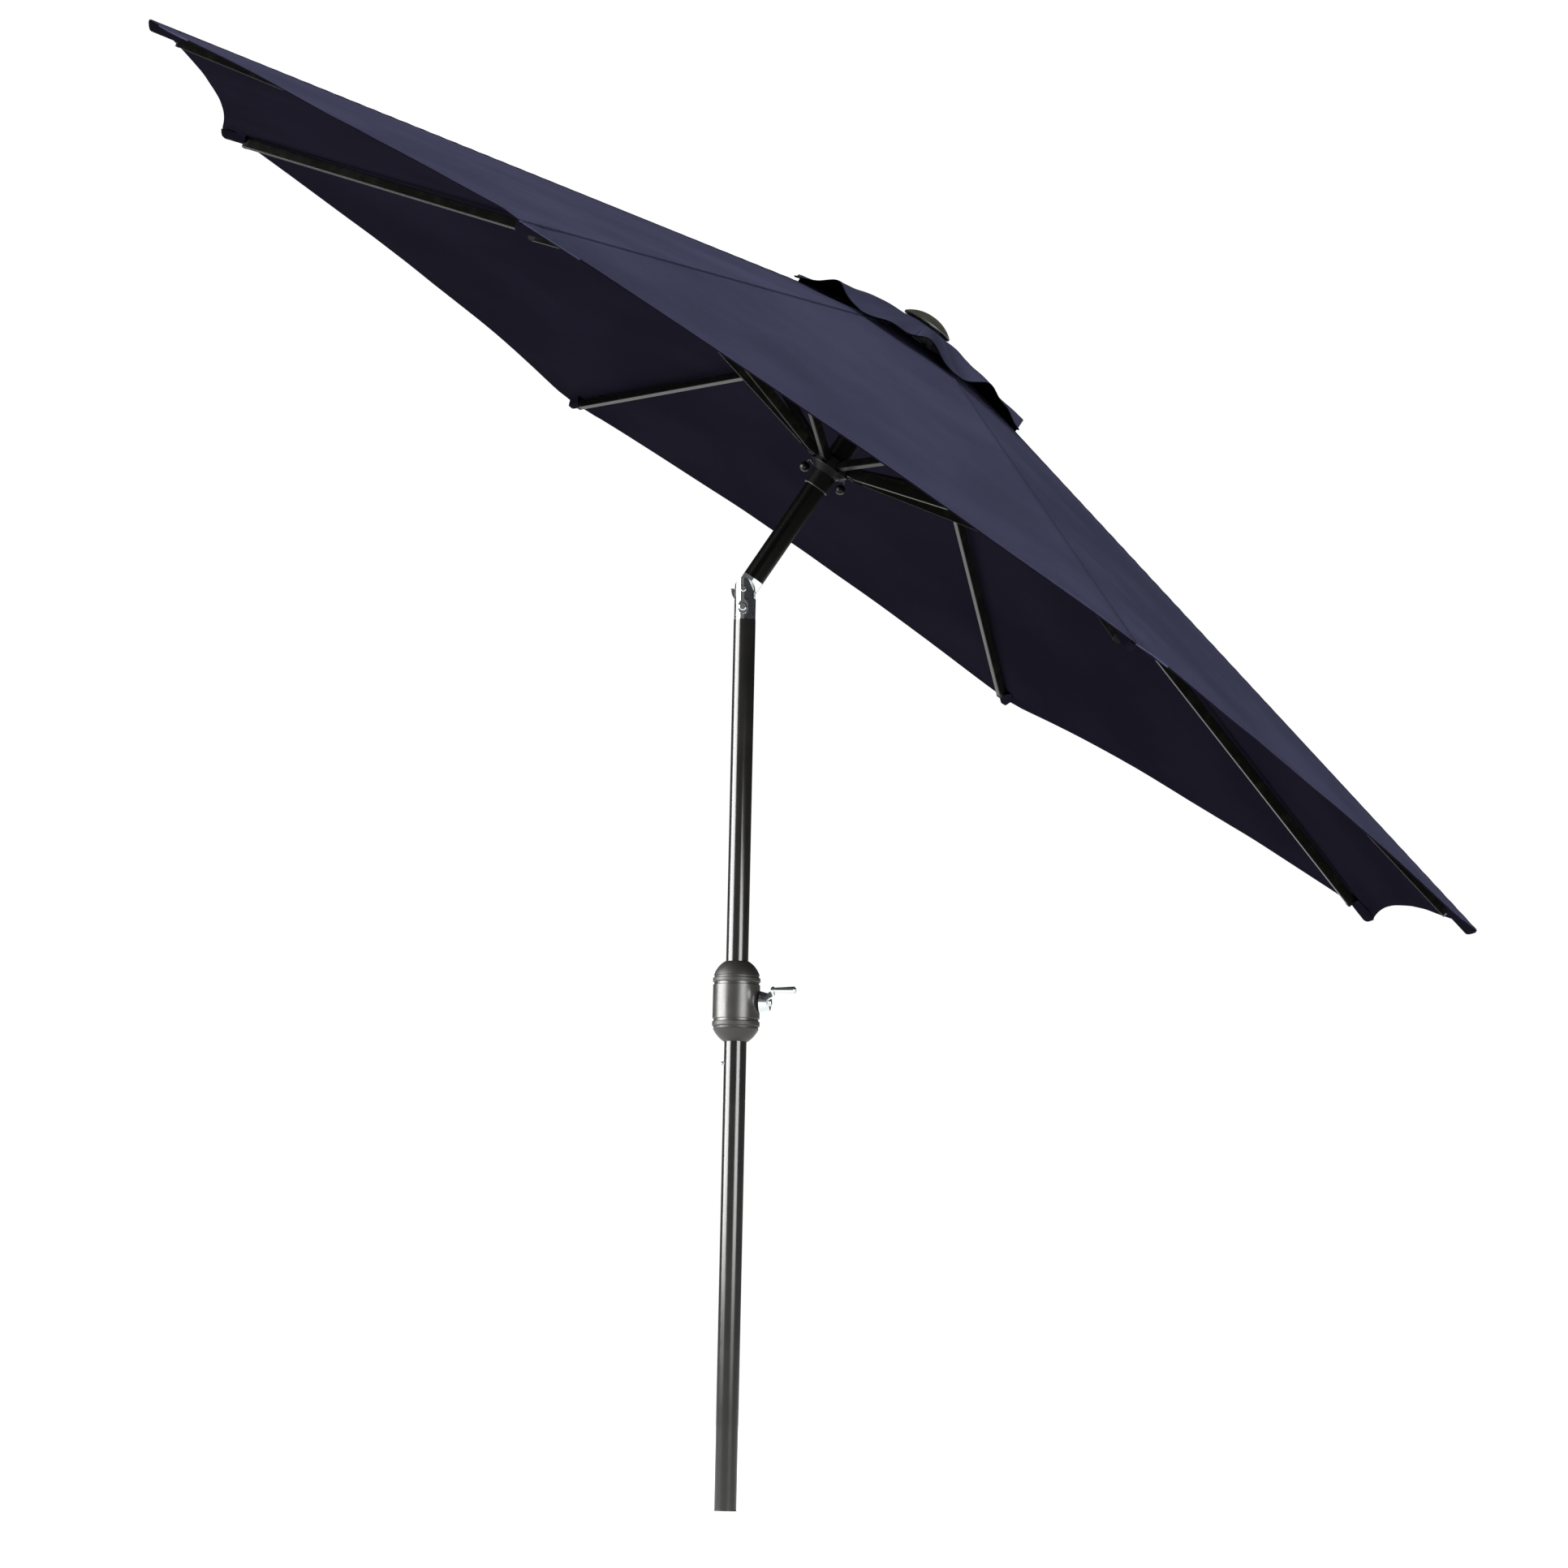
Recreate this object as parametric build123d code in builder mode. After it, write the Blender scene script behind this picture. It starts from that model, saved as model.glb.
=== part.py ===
from build123d import *
import os
from math import cos, hypot, radians, sin, tan

# Crank-lift patio umbrella with a push-button tilt, open and tilted to its last notch.
# Millimetres, +Z up, origin at the bottom of the pole on its axis; the canopy leans towards +X.

os.makedirs("parts", exist_ok=True)

# ---- driving dimensions ----

# poles
POLE_R = 19.0
POLE_BORE_R = 17.8
CAP_RIM = 2.5
POLE_SPLIT_Z = 806.0
STOP_GROOVE_Z = 689.5
SLEEVE_R = 17.7
SLEEVE_BORE_R = 15.7
SLEEVE_Z = (700.0, 842.0)
SNAP_Z = 754.5
SNAP_R = 3.35
RUNNING = 0.05

# crank housing, spool and crank
CRANK_Z = 860.0
BODY_R = 40.3
BAND_R = 40.7
LIP_R = 38.3
SHAFT_R = 5.0
BUSH_R = 8.1
SPOOL_DRUM_R = 8.0
SPOOL_FLANGE_R = 12.5
CRANK_RADIUS = 48.0
CRANK_RISE = 20.0
ARM_T = 3.5
GRIP_X = (73.2, 108.6)
GRIP_PIN_R = 3.0

# tilt joint
PIVOT_Z = 1576.0
TILT = 33.8
CLEVIS_Z = 1523.0
CLEVIS_R = 18.6
SLOT_HALF = 8.0
SLOT_SWING_R = 24.8
TILT_PIN_R = 4.0
TONGUE_R = 17.3
TONGUE_HALF = 7.6
HEEL_R = 24.0
COLLAR_R = 18.8
COLLAR_Z = (8.0, 25.0)
BUTTON_Z = 1544.0
BUTTON_R = 6.8

# canopy, ribs and struts, measured from the tilt pivot along the upper pole
SIDES = 8
FIRST_RIB = -9.5
SLOPE = 13.9
APEX_Z = 531.0
CANOPY_R = 1404.0
CANOPY_T = 1.2
CANOPY_HOLE_R = 120.0
SCALLOP = 42.0
PANEL_GAP = 0.4
SEAM_GAP = 0.1
RIB_W = 10.0
RIB_H = 18.0
TUBE_WALL = 0.7
RIB_BELOW_CANOPY = 2.6
STRUT_W = 10.0
STRUT_H = 16.0
LINK = 480.0
PIVOT_R = 30.0
PIN_R = 1.95
PIN_HOLE_R = 2.05
PIVOT_BELOW_RIB = 15.0
VENT_R = 250.0
FINIAL_R = 46.5
FINIAL_Z = 557.0
CORD_R = 1.5

# ---- worked-out places ----

HALF = 180 / SIDES
RIB_DEPTH = RIB_BELOW_CANOPY + RIB_H / 2 + PIVOT_BELOW_RIB
CROWN_Z = APEX_Z - PIVOT_R * tan(radians(SLOPE)) - RIB_DEPTH / cos(radians(SLOPE))
RUNNER_Z = CROWN_Z - 2 * LINK * sin(radians(SLOPE))
TIP_Z = APEX_Z - CANOPY_R * tan(radians(SLOPE))

# the head's own frame: origin on the tilt pivot, Z up the tilted upper pole
HEAD = Plane(
    origin=(0, 0, PIVOT_Z),
    x_dir=(cos(radians(TILT)), 0, -sin(radians(TILT))),
    z_dir=(sin(radians(TILT)), 0, cos(radians(TILT))),
).location
# looking along the crank shaft, and square to the pole at the back
SHAFT = Plane(origin=(0, 0, CRANK_Z), x_dir=(0, 1, 0), z_dir=(1, 0, 0))
BACK = Plane(origin=(0, 0, 0), x_dir=(-1, 0, 0), z_dir=(0, 1, 0))
FRONT = Plane(origin=(0, 0, 0), x_dir=(1, 0, 0), z_dir=(0, -1, 0))


def spoke(number):
    """The head's frame turned to one rib; rib 1 comes first."""
    return HEAD * Location((0, 0, 0), (0, 0, FIRST_RIB + number * 2 * HALF))


def write(piece, name, place=Location()):
    """Put a finished piece in its place and write it."""
    placed = piece.moved(place)
    placed.label = name
    export_step(placed, f"parts/{name}.step")


# ---- lower pole, its cap and the sleeve that joins it to the middle pole ----

with BuildPart() as lower_pole:
    with BuildSketch(Plane.XY.offset(CAP_RIM)):
        Circle(POLE_R)
        Circle(POLE_BORE_R, mode=Mode.SUBTRACT)
    extrude(amount=POLE_SPLIT_Z - CAP_RIM)
    # rolled groove that stops the sleeve
    with BuildSketch(Plane.XY.offset(STOP_GROOVE_Z)):
        Circle(POLE_R + 1)
        Circle(POLE_R - 0.45, mode=Mode.SUBTRACT)
    extrude(amount=1.5, mode=Mode.SUBTRACT)
    with BuildSketch(Plane.YZ.offset(-POLE_R - 1)):
        with Locations((0, SNAP_Z)):
            Circle(SNAP_R + RUNNING)
    extrude(amount=5, mode=Mode.SUBTRACT)
write(lower_pole.part, "lower_pole")

with BuildPart() as pole_end_cap:
    with BuildSketch():
        Circle(POLE_R)
    extrude(amount=CAP_RIM)
    chamfer(pole_end_cap.edges().group_by(Axis.Z)[0], 0.4)
    with BuildSketch(Plane.XY.offset(CAP_RIM)):
        Circle(POLE_BORE_R - 0.05)
        Circle(POLE_BORE_R - 2.4, mode=Mode.SUBTRACT)
    extrude(amount=20)
write(pole_end_cap.part, "pole_end_cap")

with BuildPart() as coupler_sleeve:
    with BuildSketch(Plane.XY.offset(SLEEVE_Z[0])):
        Circle(SLEEVE_R)
        Circle(SLEEVE_BORE_R, mode=Mode.SUBTRACT)
    extrude(amount=SLEEVE_Z[1] - SLEEVE_Z[0])
    with BuildSketch(Plane.YZ.offset(-POLE_R)):
        with Locations((0, SNAP_Z)):
            Circle(SNAP_R + RUNNING)
    extrude(amount=5, mode=Mode.SUBTRACT)
write(coupler_sleeve.part, "coupler_sleeve")

with BuildPart() as snap_button:
    with BuildSketch(Plane.YZ.offset(-13.6)):
        with Locations((0, SNAP_Z)):
            Circle(4.6)
    extrude(amount=-1.2)
    with BuildSketch(Plane.YZ.offset(-14.8)):
        with Locations((0, SNAP_Z)):
            Circle(SNAP_R)
    extrude(amount=-10.2)
    fillet(snap_button.edges().group_by(Axis.X)[0], 2.4)
write(snap_button.part, "snap_button")

with BuildPart() as snap_spring:
    with BuildSketch(FRONT):
        with BuildLine():
            FilletPolyline(
                (-13.2, SNAP_Z + 8), (-13.2, SNAP_Z - 10), (0, SNAP_Z - 46), (14.6, SNAP_Z - 4), radius=4
            )
        trace(line_width=0.8)
    extrude(amount=4, both=True)
write(snap_spring.part, "snap_spring")

# ---- middle pole ----

with BuildPart() as middle_pole:
    with BuildSketch(Plane.XY.offset(POLE_SPLIT_Z)):
        Circle(POLE_R)
        Circle(POLE_BORE_R, mode=Mode.SUBTRACT)
    extrude(amount=CLEVIS_Z - POLE_SPLIT_Z)
    # cross holes for the two shaft bushes
    with BuildSketch(SHAFT):
        Circle(BUSH_R)
    extrude(amount=POLE_R + 1, both=True, mode=Mode.SUBTRACT)
    # threaded holes for the housing screws
    with BuildSketch(BACK):
        with Locations((0, CRANK_Z - 22), (0, CRANK_Z + 22)):
            Circle(2.0)
    extrude(amount=POLE_R + 1, mode=Mode.SUBTRACT)
write(middle_pole.part, "middle_pole")

# ---- crank housing: a barrel between two domed caps ----

BODY_END = 29.5
LIP_END = 36.0
with BuildPart() as housing_body:
    with BuildSketch(FRONT):
        with BuildLine():
            Polyline(
                (37.2, CRANK_Z - LIP_END),
                (LIP_R, CRANK_Z - LIP_END),
                (LIP_R, CRANK_Z - BODY_END),
                (BODY_R - 0.8, CRANK_Z - BODY_END),
                (BODY_R, CRANK_Z - BODY_END + 0.8),
                (BODY_R, CRANK_Z + BODY_END - 0.8),
                (BODY_R - 0.8, CRANK_Z + BODY_END),
                (LIP_R, CRANK_Z + BODY_END),
                (LIP_R, CRANK_Z + LIP_END),
                (37.2, CRANK_Z + LIP_END),
                close=True,
            )
        make_face()
    revolve(axis=Axis.Z)
    with BuildSketch(SHAFT):
        Circle(BUSH_R)
    extrude(amount=BODY_R + 1, mode=Mode.SUBTRACT)
    with BuildSketch(BACK):
        with Locations((0, CRANK_Z - 22), (0, CRANK_Z + 22)):
            Circle(2.1)
    extrude(amount=BODY_R + 1, mode=Mode.SUBTRACT)
write(housing_body.part, "housing_body")


def dome_cap(band, seat, groove, neck, mid, rim):
    """A domed cap of the crank housing. Heights are given from the shaft, band edge first."""
    with BuildPart() as cap:
        with BuildSketch(FRONT):
            with BuildLine():
                Polyline(
                    (LIP_R + 0.1, band[0]),
                    (BAND_R - 0.7, band[0]),
                    (BAND_R, band[0] + 0.18 * (band[1] - band[0])),
                    (BAND_R, band[0] + 0.82 * (band[1] - band[0])),
                    (BAND_R - 0.7, band[1]),
                    (LIP_R - 0.2, band[1]),
                    (LIP_R - 0.2, groove),
                    rim,
                )
                ThreePointArc(rim, mid, neck)
                Line(neck, (POLE_R + 0.1, neck[1]))
                inner = (POLE_R + 0.1, neck[1] - 0.14 * (neck[1] - rim[1]))
                Line((POLE_R + 0.1, neck[1]), inner)
                ThreePointArc(inner, (mid[0] - 2.6, mid[1] - 0.13 * (neck[1] - rim[1])), (LIP_R - 3, groove))
                Polyline((LIP_R - 3, groove), (LIP_R - 3, seat), (LIP_R + 0.1, seat), (LIP_R + 0.1, band[0]))
            make_face()
        revolve(axis=Axis.Z)
    return cap.part.moved(Location((0, 0, CRANK_Z)))


write(dome_cap((33.5, 41.0), 36.3, 44.3, (21.0, 69.3), (34.9, 55.2), (39.3, 45.0)), "housing_top_cap")
write(dome_cap((-33.5, -42.3), -36.3, -45.6, (20.6, -68.0), (33.2, -56.2), (39.2, -46.3)), "housing_bottom_cap")

with BuildPart() as housing_screws:
    with BuildSketch(BACK.offset(POLE_BORE_R)):
        with Locations((0, CRANK_Z - 22), (0, CRANK_Z + 22)):
            Circle(2.0)
    extrude(amount=BODY_R - POLE_BORE_R)
    with BuildSketch(BACK.offset(BODY_R)):
        with Locations((0, CRANK_Z - 22), (0, CRANK_Z + 22)):
            Circle(4.0)
    extrude(amount=2.2)
    fillet(housing_screws.edges().group_by(Axis.Y)[-1], 1.2)
write(housing_screws.part, "housing_screws")

with BuildPart() as crank_bushes:
    with BuildSketch(SHAFT.offset(13)):
        Circle(BUSH_R)
        Circle(SHAFT_R + RUNNING, mode=Mode.SUBTRACT)
    extrude(amount=26.8)
    with BuildSketch(SHAFT.offset(20)):
        Circle(13)
        Circle(SHAFT_R + RUNNING, mode=Mode.SUBTRACT)
    extrude(amount=4)
    with BuildSketch(SHAFT.offset(-24)):
        Circle(BUSH_R)
        Circle(SHAFT_R + RUNNING, mode=Mode.SUBTRACT)
    extrude(amount=11)
    with BuildSketch(SHAFT.offset(-24)):
        Circle(13)
        Circle(SHAFT_R + RUNNING, mode=Mode.SUBTRACT)
    extrude(amount=4)
write(crank_bushes.part, "crank_bushes")

# ---- crank: shaft, spool, cranked arm and turning grip ----

with BuildPart() as crank_shaft:
    with BuildSketch(SHAFT.offset(-27.5)):
        Circle(SHAFT_R)
    extrude(amount=86)
    with BuildSketch(SHAFT.offset(-26.5)):
        Circle(7.5)
    extrude(amount=2)
    with BuildSketch(SHAFT.offset(58.5)):
        Circle(2.0)
    extrude(amount=-14, mode=Mode.SUBTRACT)
write(crank_shaft.part, "crank_shaft")

with BuildPart() as cord_spool:
    with BuildSketch(SHAFT):
        Circle(SPOOL_DRUM_R)
    extrude(amount=12, both=True)
    for side in (-12, 10):
        with BuildSketch(SHAFT.offset(side)):
            Circle(SPOOL_FLANGE_R)
        extrude(amount=2)
    with BuildSketch(SHAFT):
        Circle(SHAFT_R)
    extrude(amount=13, both=True, mode=Mode.SUBTRACT)
write(cord_spool.part, "cord_spool")

# the arm's plane holds the shaft and the grip: local x runs out along the arm, local y along the shaft
ARM = Plane(
    origin=(0, 0, CRANK_Z),
    x_dir=(0, -cos(radians(CRANK_RISE)), sin(radians(CRANK_RISE))),
    z_dir=(0, sin(radians(CRANK_RISE)), cos(radians(CRANK_RISE))),
)
GRIP = Plane(
    origin=ARM.from_local_coords((CRANK_RADIUS, 0, 0)), x_dir=ARM.x_dir, z_dir=(1, 0, 0)
)
ACROSS_ARM = Plane(origin=(0, 0, CRANK_Z), x_dir=ARM.x_dir, z_dir=(1, 0, 0))
with BuildPart() as crank_arm:
    with BuildSketch(ARM):
        with BuildLine():
            FilletPolyline((-15, 56.75), (20, 56.75), (36, 71.2), (CRANK_RADIUS + 7, 71.2), radius=5)
        trace(line_width=ARM_T)
    extrude(amount=15, both=True)
    # plan outline: a round boss that narrows to the grip's eye
    with BuildSketch(ACROSS_ARM.offset(50)):
        with BuildLine():
            Line((0, 14.5), (24, 6.2))
            Line((24, 6.2), (CRANK_RADIUS, 6.2))
            ThreePointArc((CRANK_RADIUS, 6.2), (CRANK_RADIUS + 6.2, 0), (CRANK_RADIUS, -6.2))
            Line((CRANK_RADIUS, -6.2), (24, -6.2))
            Line((24, -6.2), (0, -14.5))
            ThreePointArc((0, -14.5), (-14.5, 0), (0, 14.5))
        make_face()
    extrude(amount=30, mode=Mode.INTERSECT)
    # tapered boss against the housing
    with BuildSketch(SHAFT.offset(41.2)):
        Circle(19)
    with BuildSketch(SHAFT.offset(55.2)):
        Circle(15)
    loft()
    with BuildSketch(SHAFT.offset(40)):
        Circle(SHAFT_R)
    extrude(amount=22, mode=Mode.SUBTRACT)
    with BuildSketch(GRIP.offset(60)):
        Circle(GRIP_PIN_R)
    extrude(amount=20, mode=Mode.SUBTRACT)
write(crank_arm.part, "crank_arm")

with BuildPart() as crank_screw:
    with BuildSketch(SHAFT.offset(58.5)):
        Circle(7.0)
    extrude(amount=2.8)
    fillet(crank_screw.edges().group_by(Axis.X)[-1], 1.6)
    with BuildSketch(SHAFT.offset(58.5)):
        Circle(2.0)
    extrude(amount=-12)
    with BuildSketch(SHAFT.offset(61.3)):
        RegularPolygon(2.6, 6)
    extrude(amount=-1.8, mode=Mode.SUBTRACT)
write(crank_screw.part, "crank_screw")

with BuildPart() as grip_pin:
    with BuildSketch(GRIP.offset(67.8)):
        Circle(GRIP_PIN_R)
    extrude(amount=42.2)
    with BuildSketch(GRIP.offset(67.8)):
        Circle(4.4)
    extrude(amount=1.6)
    with BuildSketch(GRIP.offset(109.0)):
        Circle(4.6)
    extrude(amount=1.8)
    fillet(grip_pin.edges().group_by(Axis.X)[-1], 1.2)
write(grip_pin.part, "grip_pin")

with BuildPart() as crank_grip:
    with BuildSketch(GRIP.offset(GRIP_X[0])):
        Circle(4.4)
    with BuildSketch(GRIP.offset(GRIP_X[1])):
        Circle(6.6)
    loft()
    fillet(crank_grip.edges(), 1.0)
    with BuildSketch(GRIP.offset(GRIP_X[0] - 1)):
        Circle(GRIP_PIN_R + RUNNING)
    extrude(amount=GRIP_X[1] - GRIP_X[0] + 2, mode=Mode.SUBTRACT)
write(crank_grip.part, "crank_grip")

# ---- tilt joint: clevis with round ears, tongue, pin, ratchet and push button ----

CLEVIS_CORD_X = -6.5
with BuildPart() as tilt_clevis:
    with BuildSketch(FRONT):
        with Locations((0, (CLEVIS_Z + PIVOT_Z) / 2)):
            Rectangle(2 * CLEVIS_R, PIVOT_Z - CLEVIS_Z)
        with Locations((0, PIVOT_Z)):
            Circle(CLEVIS_R)
    extrude(amount=CLEVIS_R + 1, both=True)
    with BuildSketch(Plane.XY.offset(CLEVIS_Z)):
        Circle(CLEVIS_R)
    extrude(amount=100, mode=Mode.INTERSECT)
    # raised pad around the button
    with BuildSketch(FRONT.offset(12)):
        with Locations((0, BUTTON_Z)):
            SlotOverall(25, 17.5, rotation=90)
    extrude(amount=8)
    # spigot inside the middle pole
    with BuildSketch(Plane.XY.offset(CLEVIS_Z - 36)):
        Circle(SLEEVE_R)
        Circle(13, mode=Mode.SUBTRACT)
    extrude(amount=36)
    # slot for the tongue
    with BuildSketch(FRONT):
        with Locations((0, PIVOT_Z)):
            Circle(SLOT_SWING_R)
        with Locations((0, PIVOT_Z + 30)):
            Rectangle(2 * SLOT_SWING_R, 60)
    extrude(amount=SLOT_HALF, both=True, mode=Mode.SUBTRACT)
    with BuildSketch(FRONT):
        with Locations((0, PIVOT_Z)):
            Circle(TILT_PIN_R)
    extrude(amount=CLEVIS_R + 1, both=True, mode=Mode.SUBTRACT)
    # button bore and the narrower bore for its stem
    with BuildSketch(FRONT.offset(8)):
        with Locations((0, BUTTON_Z)):
            Circle(BUTTON_R + RUNNING)
    extrude(amount=14, mode=Mode.SUBTRACT)
    with BuildSketch(FRONT.offset(-8)):
        with Locations((0, BUTTON_Z)):
            Circle(2.5 + RUNNING)
    extrude(amount=17, mode=Mode.SUBTRACT)
    with BuildSketch(Plane.XY.offset(CLEVIS_Z - 1)):
        with Locations((CLEVIS_CORD_X, 0)):
            Circle(CORD_R + 0.6)
    extrude(amount=40, mode=Mode.SUBTRACT)
write(tilt_clevis.part, "tilt_clevis")

with BuildPart() as tilt_pin:
    with BuildSketch(FRONT):
        with Locations((0, PIVOT_Z)):
            Circle(TILT_PIN_R)
    extrude(amount=CLEVIS_R, both=True)
    for face in (FRONT, BACK):
        with BuildSketch(face.offset(CLEVIS_R)):
            with Locations((0, PIVOT_Z)):
                Circle(5.6)
        extrude(amount=1.8)
    fillet(tilt_pin.edges().group_by(Axis.Y)[0] + tilt_pin.edges().group_by(Axis.Y)[-1], 1.3)
write(tilt_pin.part, "tilt_pin")

with BuildPart() as tilt_button:
    with BuildSketch(FRONT.offset(13.5)):
        with Locations((0, BUTTON_Z)):
            Circle(BUTTON_R)
    extrude(amount=8.7)
    fillet(tilt_button.edges().group_by(Axis.Y)[0], 1.5)
    with BuildSketch(FRONT.offset(13.5)):
        with Locations((0, BUTTON_Z)):
            Circle(2.5)
    extrude(amount=-16)
write(tilt_button.part, "tilt_button")

with BuildPart() as tilt_button_spring:
    with BuildLine():
        coil = Helix(pitch=1.45, height=4.2, radius=4.2)
    with BuildSketch(Plane(origin=coil @ 0, z_dir=coil % 0)):
        Circle(0.35)
    sweep(path=coil)
SPRING_SEAT = Plane(origin=(0, -8.5, BUTTON_Z), x_dir=(1, 0, 0), z_dir=(0, -1, 0))
write(tilt_button_spring.part, "tilt_button_spring", SPRING_SEAT.location)

# from here on the pieces stand in the head's own frame
HEAD_CORD_X = 8.0
CROWN_CORD = Location((0, 0, 0), (0, 0, 13.0))
with BuildPart() as tilt_tongue:
    with BuildSketch(FRONT):
        Circle(TONGUE_R)
        with Locations((0, COLLAR_Z[1] / 2)):
            Rectangle(2 * TONGUE_R, COLLAR_Z[1])
    extrude(amount=TONGUE_HALF, both=True)
    with BuildSketch(Plane.XY.offset(COLLAR_Z[0])):
        Circle(COLLAR_R)
    extrude(amount=COLLAR_Z[1] - COLLAR_Z[0])
    # hollowed about the pivot so that the clevis's ears swing clear
    for face in (FRONT, BACK):
        with BuildSketch(face.offset(TONGUE_HALF)):
            Circle(CLEVIS_R + 0.6)
        extrude(amount=20, mode=Mode.SUBTRACT)
    with BuildSketch(Plane.XY.offset(COLLAR_Z[1])):
        Circle(SLEEVE_R)
        Circle(13, mode=Mode.SUBTRACT)
    extrude(amount=34)
    with BuildSketch(FRONT):
        Circle(TILT_PIN_R + RUNNING)
    extrude(amount=20, both=True, mode=Mode.SUBTRACT)
    with BuildSketch(Plane.XY.offset(-30)):
        with Locations((HEAD_CORD_X, 0)):
            Circle(CORD_R + 0.6)
    extrude(amount=60, mode=Mode.SUBTRACT)
write(tilt_tongue.part, "tilt_tongue", HEAD)

NOTCH_ANGLES = [217 + step * 8.45 for step in range(5)]
with BuildPart() as ratchet_heel:
    with BuildSketch(FRONT):
        Circle(HEEL_R)
        Circle(TONGUE_R, mode=Mode.SUBTRACT)
        Polygon(
            (0, 0), *[(60 * cos(radians(a)), 60 * sin(radians(a))) for a in (209, 240, 270, 300)],
            align=None, mode=Mode.INTERSECT,
        )
        with Locations(*[(HEEL_R * cos(radians(a)), HEEL_R * sin(radians(a))) for a in NOTCH_ANGLES]):
            Circle(1.3, mode=Mode.SUBTRACT)
    extrude(amount=TONGUE_HALF - 0.3, both=True)
    with BuildSketch(Plane.XY.offset(-30)):
        with Locations((HEAD_CORD_X, 0)):
            Circle(CORD_R + 0.6)
    extrude(amount=20, mode=Mode.SUBTRACT)
write(ratchet_heel.part, "ratchet_heel", HEAD)

# ---- upper pole, crown hub, pulley and finial ----

HUB_TOP = 546.0
TUBE_TOP = 540.0
with BuildPart() as upper_pole:
    with BuildSketch(Plane.XY.offset(COLLAR_Z[1])):
        Circle(POLE_R)
        Circle(POLE_BORE_R, mode=Mode.SUBTRACT)
    extrude(amount=TUBE_TOP - COLLAR_Z[1])
write(upper_pole.part, "upper_pole", HEAD)

PULLEY_R = 11.5
PULLEY_GROOVE = 10.0
UP_RUN_X = 1.2
PULLEY_X = UP_RUN_X + PULLEY_GROOVE
DOWN_RUN_X = PULLEY_X + PULLEY_GROOVE
PULLEY_Z = 558.5
SLOT_W = 10.6
with BuildPart() as crown_hub:
    with BuildSketch(Plane.XY.offset(CROWN_Z - 9)):
        Circle(37)
        Circle(POLE_R, mode=Mode.SUBTRACT)
    extrude(amount=APEX_Z - 6 - CROWN_Z + 9)
    chamfer(crown_hub.edges().group_by(Axis.Z)[0].sort_by(SortBy.LENGTH)[-1], 2)
    with BuildSketch(Plane.XY.offset(APEX_Z - 6)):
        Circle(26)
        Circle(POLE_R, mode=Mode.SUBTRACT)
    extrude(amount=TUBE_TOP - APEX_Z + 6)
    with BuildSketch(Plane.XY.offset(TUBE_TOP)):
        Circle(26)
    extrude(amount=HUB_TOP - TUBE_TOP)
    # one slot and one pin hole for each rib
    with BuildSketch(Plane.XY.offset(CROWN_Z - 10)):
        with PolarLocations(30, SIDES, start_angle=FIRST_RIB - 13.0):
            with Locations((-9.6 + 10, 0)):
                Rectangle(20, SLOT_W)
    extrude(amount=APEX_Z - 6 - CROWN_Z + 10, mode=Mode.SUBTRACT)
    with Locations(Location((0, 0, CROWN_Z))):
        with PolarLocations(PIVOT_R, SIDES, start_angle=FIRST_RIB - 13.0):
            Cylinder(PIN_R, 20, rotation=(90, 0, 0), mode=Mode.SUBTRACT)
    # fork for the pulley and the two ways for the cord
    with BuildSketch(Plane.XY.offset(HUB_TOP)):
        with Locations((PULLEY_X, 5.1), (PULLEY_X, -5.1)):
            Rectangle(13, 3)
    extrude(amount=16)
    with BuildSketch(FRONT):
        with Locations((PULLEY_X, PULLEY_Z)):
            Circle(2.0)
    extrude(amount=8, both=True, mode=Mode.SUBTRACT)
    with BuildSketch(Plane.XY.offset(CROWN_Z - 10)):
        with Locations((DOWN_RUN_X, 0)):
            Circle(CORD_R + 0.4)
        with Locations((UP_RUN_X, 0)):
            Circle(CORD_R + 0.7)
    extrude(amount=70, mode=Mode.SUBTRACT)
write(crown_hub.part, "crown_hub", HEAD * CROWN_CORD)

with BuildPart() as crown_pins:
    with Locations(Location((0, 0, CROWN_Z))):
        with PolarLocations(PIVOT_R, SIDES, start_angle=FIRST_RIB):
            Cylinder(PIN_R, 19, rotation=(90, 0, 0))
write(crown_pins.part, "crown_pins", HEAD)

with BuildPart() as crown_pulley:
    with BuildSketch(Plane.XY):
        with BuildLine():
            Polyline((0, -7.4), (2.0, -7.4), (2.0, -3.2), (PULLEY_R, -3.2), (PULLEY_R, -2.0))
            ThreePointArc((PULLEY_R, -2.0), (PULLEY_GROOVE - CORD_R - 0.1, 0), (PULLEY_R, 2.0))
            Polyline((PULLEY_R, 2.0), (PULLEY_R, 3.2), (2.0, 3.2), (2.0, 7.4), (0, 7.4), (0, -7.4))
        make_face()
    revolve(axis=Axis.Y)
write(crown_pulley.part, "crown_pulley", HEAD * CROWN_CORD * Location((PULLEY_X, 0, PULLEY_Z)))

with BuildPart() as finial:
    with BuildSketch(FRONT):
        with BuildLine():
            Polyline((0, FINIAL_Z + 16.5), (0, FINIAL_Z + 19))
            ThreePointArc((0, FINIAL_Z + 19), (30, FINIAL_Z + 13.2), (FINIAL_R, FINIAL_Z + 2.5))
            Polyline(
                (FINIAL_R, FINIAL_Z + 2.5),
                (FINIAL_R, FINIAL_Z),
                (FINIAL_R - 2.5, FINIAL_Z),
                (FINIAL_R - 3.2, FINIAL_Z + 2),
                (28.0, FINIAL_Z + 10.5),
                (26.0, FINIAL_Z + 9),
                (26.0, HUB_TOP),
                (23.8, HUB_TOP),
                (23.8, FINIAL_Z + 12.6),
                (0, FINIAL_Z + 16.5),
            )
        make_face()
    revolve(axis=Axis.Z)
write(finial.part, "finial", HEAD)

# ---- vent canopy: a small eight-sided cone under the finial ----

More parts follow.
